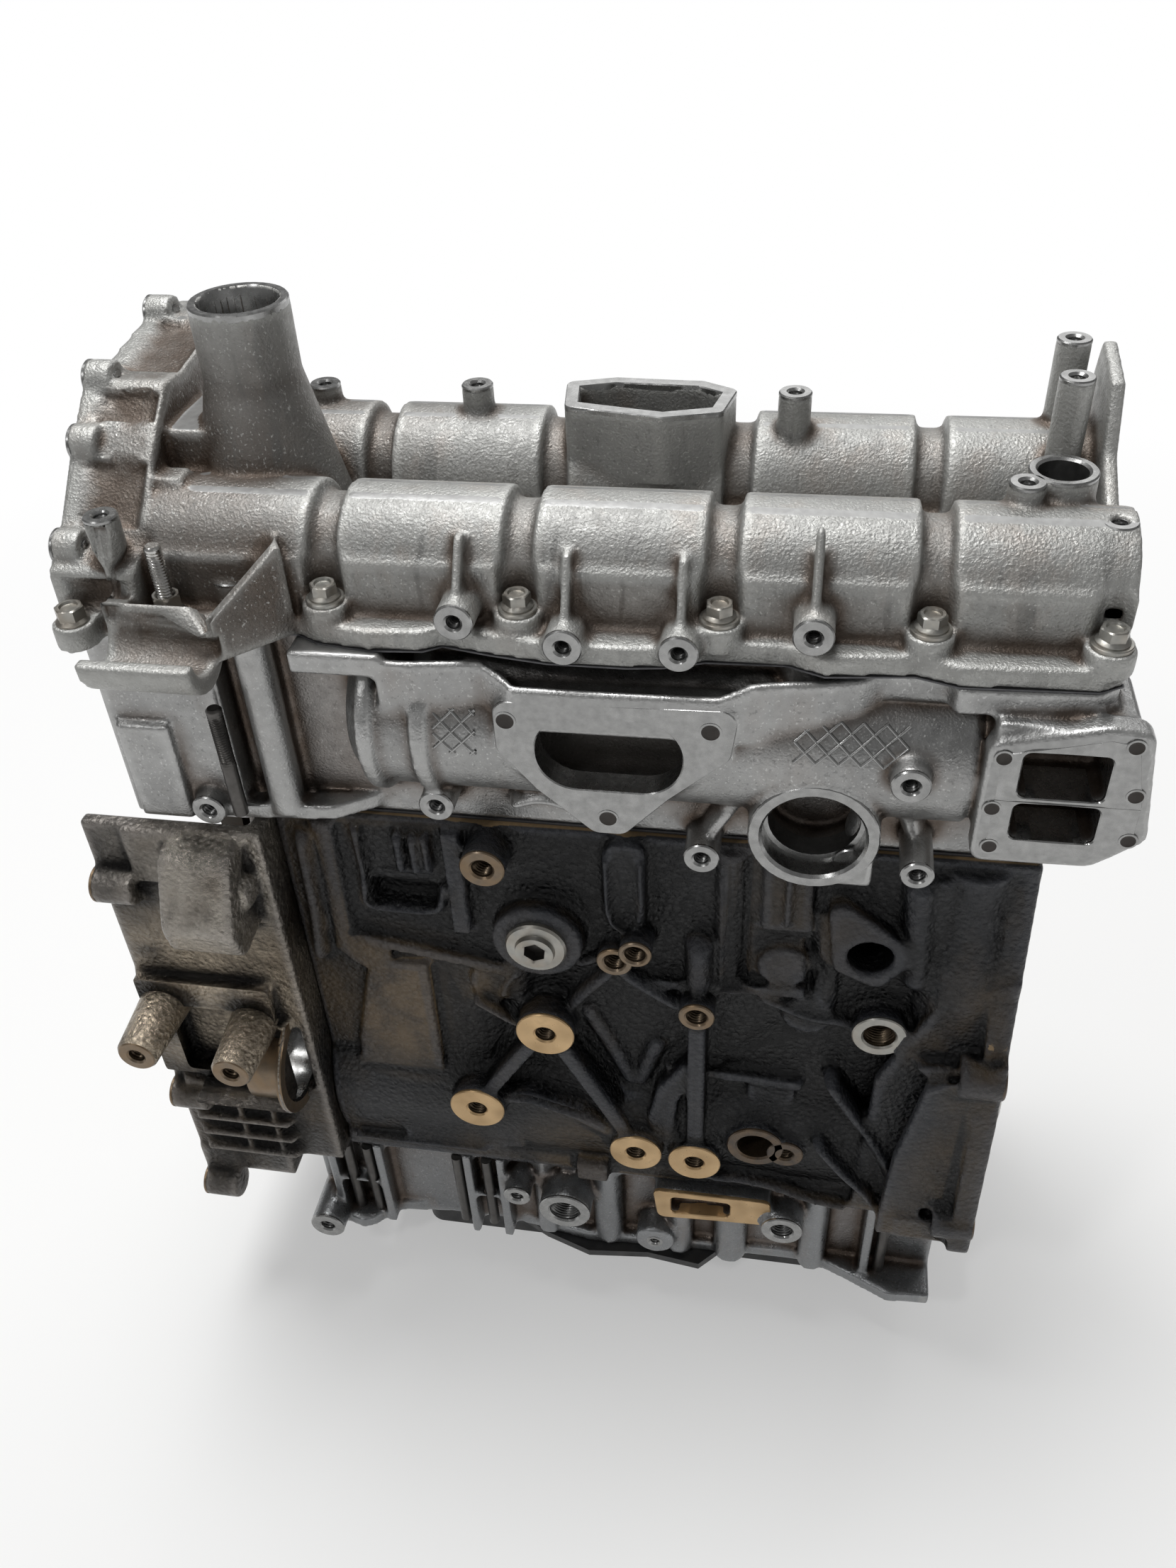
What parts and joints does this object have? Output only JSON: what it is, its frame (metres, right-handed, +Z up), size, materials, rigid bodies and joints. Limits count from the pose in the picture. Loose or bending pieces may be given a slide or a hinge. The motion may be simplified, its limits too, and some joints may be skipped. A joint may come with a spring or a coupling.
{
  "type": "diesel engine",
  "caption": "Inline twin-cam diesel long block: aluminium head and cam carrier on an iron block with an open timing end, moving crank train and valves.",
  "frame": {"origin": "under the sump, below the middle of the four cylinders", "axes": "+X to the flywheel end along the crankshaft, -Y the intake side, +Z up"},
  "size_m": [0.527, 0.253, 0.663],
  "materials": {
    "cast_aluminium": "as cast, light grey, sandy",
    "head_aluminium": "as cast with machined faces",
    "frame_aluminium": "as cast, mid grey",
    "oily_iron": "near-black oily cast iron",
    "machined_steel": "machined and ground",
    "zinc_steel": "zinc plated",
    "black_steel": "black painted sheet",
    "gasket_steel": "coated sheet",
    "seal_rubber": "moulded",
    "guide_plastic": "moulded nylon",
    "chain_steel": "oiled"
  },
  "bodies": {
    "block": {"cylinder_block": "oily_iron", "core_plugs": "zinc_steel", "oil_gallery_plug": "zinc_steel", "main_bearing_caps": "oily_iron", "main_cap_screws": "zinc_steel", "main_bearing_shells": "machined_steel", "rear_seal_carrier": "cast_aluminium", "rear_crank_seal": "seal_rubber", "bed_frame": "frame_aluminium", "bed_frame_screws": "zinc_steel", "oil_sump": "black_steel", "drain_plug": "zinc_steel", "sump_screws": "zinc_steel", "cylinder_head": "head_aluminium", "head_gasket": "gasket_steel", "head_bolts": "zinc_steel", "exhaust_studs": "zinc_steel", "valve_springs": "machined_steel", "cam_carrier": "cast_aluminium", "cam_carrier_gasket": "gasket_steel", "cam_carrier_screws": "zinc_steel", "bracket_stud": "zinc_steel", "bracket_nut": "zinc_steel", "long_stud": "zinc_steel", "timing_case": "oily_iron", "timing_chain": "chain_steel", "cam_link_chain": "chain_steel", "chain_guide": "guide_plastic", "guide_pins": "machined_steel", "chain_tensioner": "machined_steel"},
    "crank": {"crankshaft": "machined_steel", "crank_sprocket": "machined_steel"},
    "intake_cam": {"intake_camshaft": "machined_steel", "intake_link_sprocket": "machined_steel"},
    "exhaust_cam": {"exhaust_camshaft": "machined_steel", "exhaust_cam_sprocket": "machined_steel", "exhaust_link_sprocket": "machined_steel"},
    "tensioner": {"tensioner_arm": "guide_plastic"},
    "rod_1": {"con_rod_1": "machined_steel"},
    "piston_1": {"piston_1": "head_aluminium", "wrist_pin_1": "machined_steel"},
    "rod_2": {"con_rod_2": "machined_steel"},
    "piston_2": {"piston_2": "head_aluminium", "wrist_pin_2": "machined_steel"},
    "rod_3": {"con_rod_3": "machined_steel"},
    "piston_3": {"piston_3": "head_aluminium", "wrist_pin_3": "machined_steel"},
    "rod_4": {"con_rod_4": "machined_steel"},
    "piston_4": {"piston_4": "head_aluminium", "wrist_pin_4": "machined_steel"},
    "intake_valve_pair_1": {"intake_valves_1": "machined_steel"},
    "intake_valve_pair_2": {"intake_valves_2": "machined_steel"},
    "intake_valve_pair_3": {"intake_valves_3": "machined_steel"},
    "intake_valve_pair_4": {"intake_valves_4": "machined_steel"},
    "exhaust_valve_pair_1": {"exhaust_valves_1": "machined_steel"},
    "exhaust_valve_pair_2": {"exhaust_valves_2": "machined_steel"},
    "exhaust_valve_pair_3": {"exhaust_valves_3": "machined_steel"},
    "exhaust_valve_pair_4": {"exhaust_valves_4": "machined_steel"}
  },
  "joints": [
    {"name": "crank_turn", "type": "hinge", "parent": "block", "child": "crank", "pos_m": [0, 0, 0.183], "axis": [1, 0, 0], "range_deg": [0, 60]},
    {"name": "big_end_1", "type": "hinge", "parent": "crank", "child": "rod_1", "pos_m": [-0.135, 0.021, 0.21937], "axis": [1, 0, 0], "range_deg": [-76.11, 0]},
    {"name": "small_end_1", "type": "hinge", "parent": "rod_1", "child": "piston_1", "pos_m": [-0.135, 0, 0.3679], "axis": [1, 0, 0], "range_deg": [0, 16.11]},
    {"name": "big_end_2", "type": "hinge", "parent": "crank", "child": "rod_2", "pos_m": [-0.045, -0.021, 0.14663], "axis": [1, 0, 0], "range_deg": [-43.91, 0]},
    {"name": "small_end_2", "type": "hinge", "parent": "rod_2", "child": "piston_2", "pos_m": [-0.045, 0, 0.29515], "axis": [1, 0, 0], "range_deg": [-16.11, 0]},
    {"name": "big_end_3", "type": "hinge", "parent": "crank", "child": "rod_3", "pos_m": [0.045, -0.021, 0.14663], "axis": [1, 0, 0], "range_deg": [-43.91, 0]},
    {"name": "small_end_3", "type": "hinge", "parent": "rod_3", "child": "piston_3", "pos_m": [0.045, 0, 0.29515], "axis": [1, 0, 0], "range_deg": [-16.11, 0]},
    {"name": "big_end_4", "type": "hinge", "parent": "crank", "child": "rod_4", "pos_m": [0.135, 0.021, 0.21937], "axis": [1, 0, 0], "range_deg": [-76.11, 0]},
    {"name": "small_end_4", "type": "hinge", "parent": "rod_4", "child": "piston_4", "pos_m": [0.135, 0, 0.3679], "axis": [1, 0, 0], "range_deg": [0, 16.11]},
    {"name": "intake_cam_turn", "type": "hinge", "parent": "block", "child": "intake_cam", "pos_m": [0, -0.0445, 0.56], "axis": [1, 0, 0], "range_deg": [0, 30]},
    {"name": "exhaust_cam_turn", "type": "hinge", "parent": "block", "child": "exhaust_cam", "pos_m": [0, 0.0445, 0.56], "axis": [1, 0, 0], "range_deg": [0, 30]},
    {"name": "intake_valves_slide_1", "type": "slide", "parent": "block", "child": "intake_valve_pair_1", "axis": [0, 0.165, -0.9863], "range_m": [0, 0.007], "stiffness_N_per_m": 2500, "springref_m": -0.003, "deforming": ["valve_springs"]},
    {"name": "intake_valves_slide_2", "type": "slide", "parent": "block", "child": "intake_valve_pair_2", "axis": [0, 0.165, -0.9863], "range_m": [0, 0.007], "stiffness_N_per_m": 2500, "springref_m": -0.003, "deforming": ["valve_springs"]},
    {"name": "intake_valves_slide_3", "type": "slide", "parent": "block", "child": "intake_valve_pair_3", "axis": [0, 0.165, -0.9863], "range_m": [0, 0.007], "stiffness_N_per_m": 2500, "springref_m": -0.003, "deforming": ["valve_springs"]},
    {"name": "intake_valves_slide_4", "type": "slide", "parent": "block", "child": "intake_valve_pair_4", "axis": [0, 0.165, -0.9863], "range_m": [0, 0.007], "stiffness_N_per_m": 2500, "springref_m": -0.003, "deforming": ["valve_springs"]},
    {"name": "exhaust_valves_slide_1", "type": "slide", "parent": "block", "child": "exhaust_valve_pair_1", "axis": [0, -0.165, -0.9863], "range_m": [0, 0.007], "stiffness_N_per_m": 2500, "springref_m": -0.003, "deforming": ["valve_springs"]},
    {"name": "exhaust_valves_slide_2", "type": "slide", "parent": "block", "child": "exhaust_valve_pair_2", "axis": [0, -0.165, -0.9863], "range_m": [0, 0.007], "stiffness_N_per_m": 2500, "springref_m": -0.003, "deforming": ["valve_springs"]},
    {"name": "exhaust_valves_slide_3", "type": "slide", "parent": "block", "child": "exhaust_valve_pair_3", "axis": [0, -0.165, -0.9863], "range_m": [0, 0.007], "stiffness_N_per_m": 2500, "springref_m": -0.003, "deforming": ["valve_springs"]},
    {"name": "exhaust_valves_slide_4", "type": "slide", "parent": "block", "child": "exhaust_valve_pair_4", "axis": [0, -0.165, -0.9863], "range_m": [0, 0.007], "stiffness_N_per_m": 2500, "springref_m": -0.003, "deforming": ["valve_springs"]},
    {"name": "tensioner_pivot", "type": "hinge", "parent": "block", "child": "tensioner", "pos_m": [-0.247, 0.0656, 0.406], "axis": [1, 0, 0], "range_deg": [0, 1], "stiffness_Nm_per_rad": 2, "springref_deg": -2.86}
  ],
  "couplings": [
    {"joint": "big_end_1", "follows": "crank_turn", "ratio": -1.2683},
    {"joint": "small_end_1", "follows": "crank_turn", "ratio": 0.26826},
    {"joint": "big_end_2", "follows": "crank_turn", "ratio": -0.73174},
    {"joint": "small_end_2", "follows": "crank_turn", "ratio": -0.26826},
    {"joint": "big_end_3", "follows": "crank_turn", "ratio": -0.73174},
    {"joint": "small_end_3", "follows": "crank_turn", "ratio": -0.26826},
    {"joint": "big_end_4", "follows": "crank_turn", "ratio": -1.2683},
    {"joint": "small_end_4", "follows": "crank_turn", "ratio": 0.26826},
    {"joint": "intake_cam_turn", "follows": "crank_turn", "ratio": 0.5},
    {"joint": "exhaust_cam_turn", "follows": "crank_turn", "ratio": 0.5}
  ]
}
